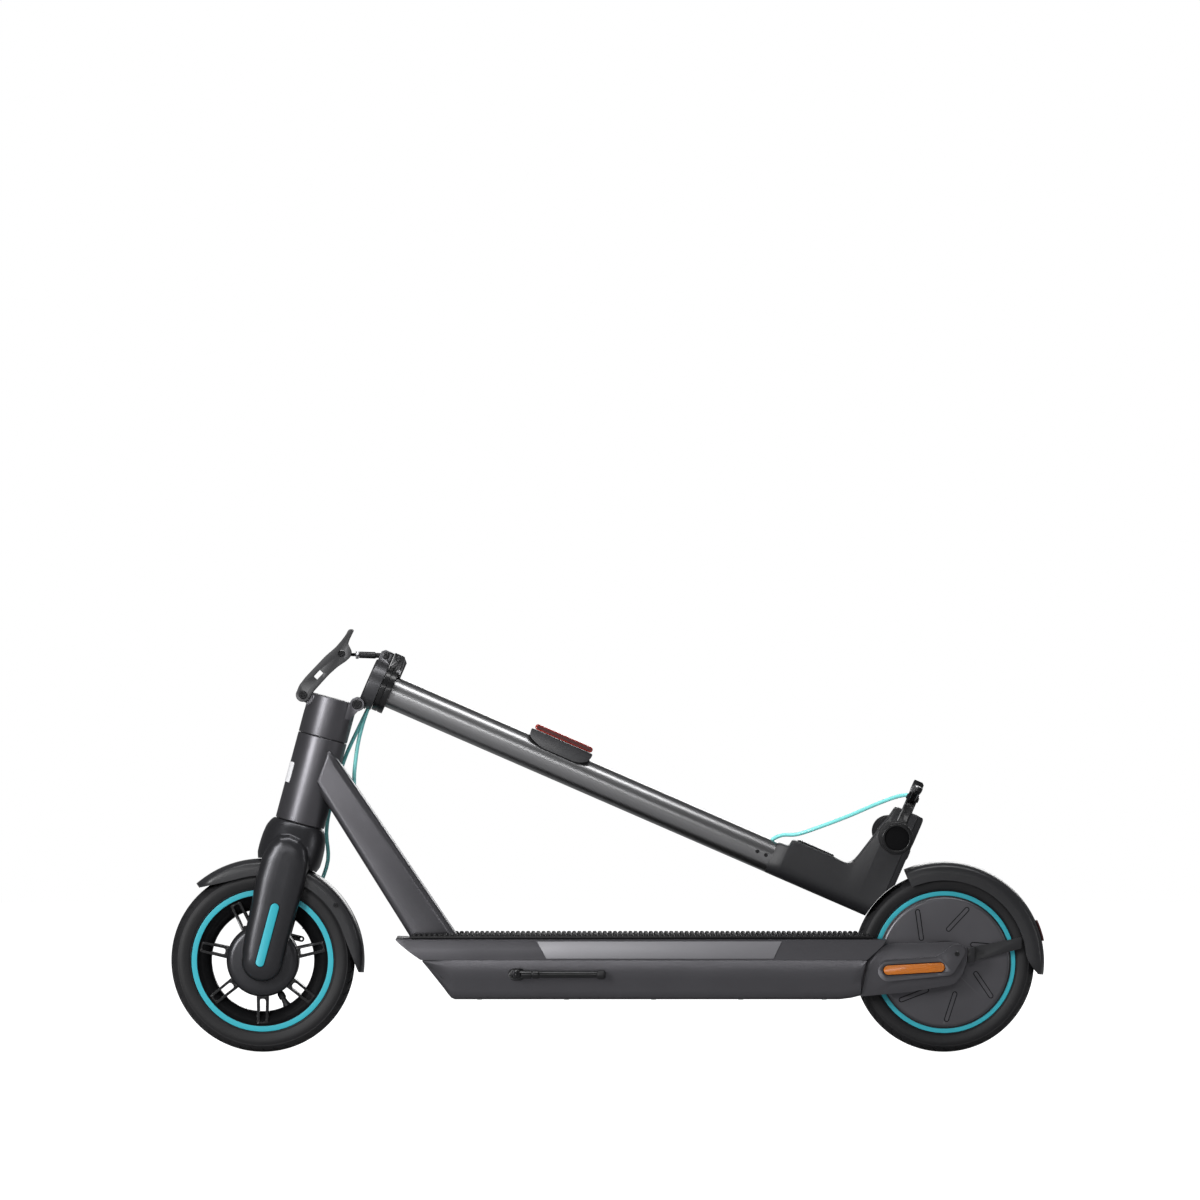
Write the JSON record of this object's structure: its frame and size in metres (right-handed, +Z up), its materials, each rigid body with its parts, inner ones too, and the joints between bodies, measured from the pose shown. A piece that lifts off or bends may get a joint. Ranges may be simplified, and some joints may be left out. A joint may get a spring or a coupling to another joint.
{
  "type": "electric kick scooter",
  "caption": "Folding electric kick scooter, folded: deck with battery, hub motor wheel, drum-braked front wheel, latched stem.",
  "frame": {"origin": "on the ground, under the centre of the whole folded machine", "axes": "+Z up, front wheel towards -X, the rider's left towards -Y"},
  "size_m": [1.2072, 0.45, 0.585],
  "materials": {
    "frame_paint": "satin",
    "stem_metal": "satin",
    "collar_metal": "satin",
    "panel_paint": "satin",
    "black_plastic": "matte",
    "rim_paint": "satin",
    "black_metal": "satin",
    "tyre_rubber": "matte",
    "grip_rubber": "matte",
    "steel": "satin",
    "motor_core": "satin",
    "cell_wrap": "gloss",
    "amber": "gloss",
    "red": "gloss",
    "clear": "gloss",
    "cable_teal": "satin"
  },
  "bodies": {
    "frame": {"head_tube": "frame_paint", "headset_bearing_upper": "steel", "headset_bearing_lower": "steel", "down_tube": "frame_paint", "deck_tray": "frame_paint", "deck_top": "frame_paint", "grip_mat": "grip_rubber", "side_panel_left": "panel_paint", "side_panel_right": "panel_paint", "battery_pack": "cell_wrap", "controller": "collar_metal", "charge_port": "black_plastic", "rear_arm_left": "frame_paint", "rear_arm_right": "frame_paint", "arm_cover_left": "frame_paint", "arm_cover_right": "frame_paint", "reflector_left": "amber", "reflector_right": "amber", "rear_axle": "steel", "motor_stator": "motor_core", "rear_fender": "black_plastic", "fender_stay_left": "black_plastic", "fender_stay_right": "black_plastic", "tail_light": "red", "kickstand_bracket": "black_metal", "cable_power": "cable_teal"},
    "steering": {"fork": "frame_paint", "fold_base": "frame_paint", "hinge_pin": "black_metal", "latch_pin": "black_metal", "front_fender": "black_plastic", "front_axle": "steel", "brake_plate": "collar_metal", "cable_brake_lower": "cable_teal"},
    "front_wheel": {"front_tyre": "tyre_rubber", "front_rim": "rim_paint", "front_spokes": "rim_paint"},
    "rear_wheel": {"rear_tyre": "tyre_rubber", "motor_hub": "rim_paint", "motor_cover": "frame_paint"},
    "stem": {"stem_base": "collar_metal", "stem_clamp": "black_metal", "stem_tube": "stem_metal", "marker_base": "black_plastic", "marker_lens": "red", "head_housing": "black_plastic", "display": "black_plastic", "headlight": "clear", "handlebar": "black_metal", "grip_left": "grip_rubber", "grip_right": "grip_rubber", "brake_perch": "black_metal", "cable_brake_upper": "cable_teal"},
    "latch_lever": {"latch_lever": "black_metal"},
    "latch_link": {"latch_link": "black_metal"},
    "brake_lever": {"brake_lever": "black_metal"},
    "throttle": {"throttle_lever": "black_plastic"},
    "power_button": {"power_button": "collar_metal"},
    "kickstand": {"kickstand": "black_metal"},
    "drum_arm": {"drum_arm": "steel"}
  },
  "joints": [
    {"name": "steer", "type": "hinge", "parent": "frame", "child": "steering", "pos_m": [-0.47655, 0, 0.127], "axis": [0.2588, 0, 0.9659], "range_deg": [-60, 60], "deforming": ["cable_power", "cable_brake_lower"]},
    {"name": "front_wheel_spin", "type": "hinge", "parent": "steering", "child": "front_wheel", "pos_m": [-0.47655, 0, 0.127], "axis": [0, 1, 0], "continuous": true},
    {"name": "rear_wheel_spin", "type": "hinge", "parent": "frame", "child": "rear_wheel", "pos_m": [0.46505, 0, 0.125], "axis": [0, 1, 0], "continuous": true},
    {"name": "fold", "type": "hinge", "parent": "steering", "child": "stem", "pos_m": [-0.34611, 0, 0.4809], "axis": [0, -1, 0], "range_deg": [0, 98.5], "deforming": ["cable_power", "cable_brake_lower"]},
    {"name": "latch_lever_turn", "type": "hinge", "parent": "steering", "child": "latch_lever", "pos_m": [-0.42121, 0, 0.49388], "axis": [0, -1, 0], "range_deg": [0, 34.5]},
    {"name": "latch_link_turn", "type": "hinge", "parent": "stem", "child": "latch_link", "pos_m": [-0.30628, 0, 0.54793], "axis": [0, 1, 0], "range_deg": [0, 196]},
    {"name": "brake_lever_pull", "type": "hinge", "parent": "stem", "child": "brake_lever", "pos_m": [0.41698, -0.1065, 0.3535], "axis": [0.9171, 0, -0.3987], "range_deg": [0, 16], "stiffness_Nm_per_rad": 1.2, "springref_deg": -14.32},
    {"name": "drum_arm_turn", "type": "hinge", "parent": "steering", "child": "drum_arm", "pos_m": [-0.45461, 0.0345, 0.16253], "axis": [0, -1, 0], "range_deg": [0, 12.5]},
    {"name": "throttle_press", "type": "hinge", "parent": "stem", "child": "throttle", "pos_m": [0.39385, 0.104, 0.30031], "axis": [0, 1, 0], "range_deg": [0, 35], "stiffness_Nm_per_rad": 0.3, "springref_deg": -22.92},
    {"name": "power_button_press", "type": "slide", "parent": "stem", "child": "power_button", "axis": [-0.9171, 0, 0.3987], "range_m": [0, 0.0015], "stiffness_N_per_m": 400, "springref_m": -0.001},
    {"name": "kickstand_swing", "type": "hinge", "parent": "frame", "child": "kickstand", "pos_m": [-0.12465, -0.088, 0.11], "axis": [-0.284, 0.9588, 0], "range_deg": [0, 120]}
  ],
  "couplings": [
    {"joint": "latch_lever_turn", "follows": "fold", "ratio": 0.3481},
    {"joint": "latch_link_turn", "follows": "fold", "ratio": 1.9877},
    {"joint": "drum_arm_turn", "follows": "brake_lever_pull", "ratio": 0.75}
  ]
}
